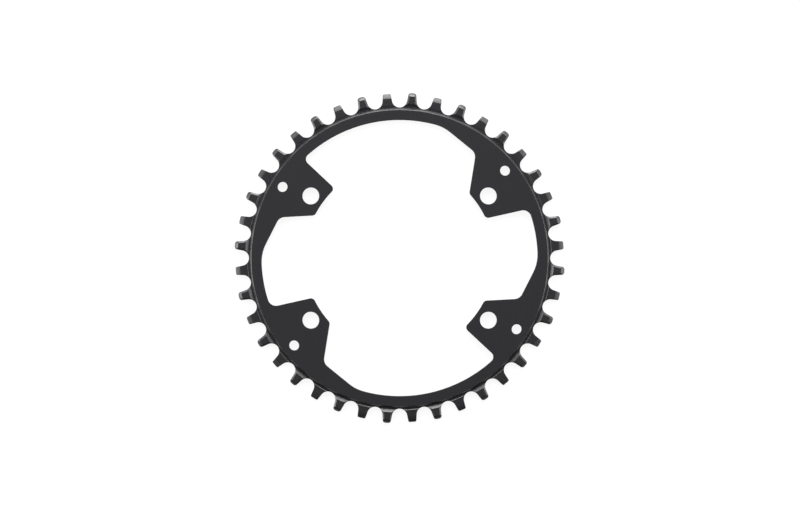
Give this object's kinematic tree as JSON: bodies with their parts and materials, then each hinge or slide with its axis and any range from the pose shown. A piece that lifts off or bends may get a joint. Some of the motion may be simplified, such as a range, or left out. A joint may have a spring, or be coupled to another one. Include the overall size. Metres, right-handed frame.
{
  "type": "bicycle chainring",
  "caption": "Flat metal ring with alternating narrow and wide chain teeth, a turned groove at their roots and inward tabs for crank bolts.",
  "frame": {"origin": "the ring's axis, on the plane of its back face, which it lies on", "axes": "+Z along the axis, out of the front face; the bolt pattern's long side runs along X and its short side along Y"},
  "size_m": [0.1674, 0.1674, 0.004],
  "materials": {
    "black_anodised": "satin black anodised"
  },
  "bodies": {
    "root": {"chainring": "black_anodised"}
  },
  "joints": []
}
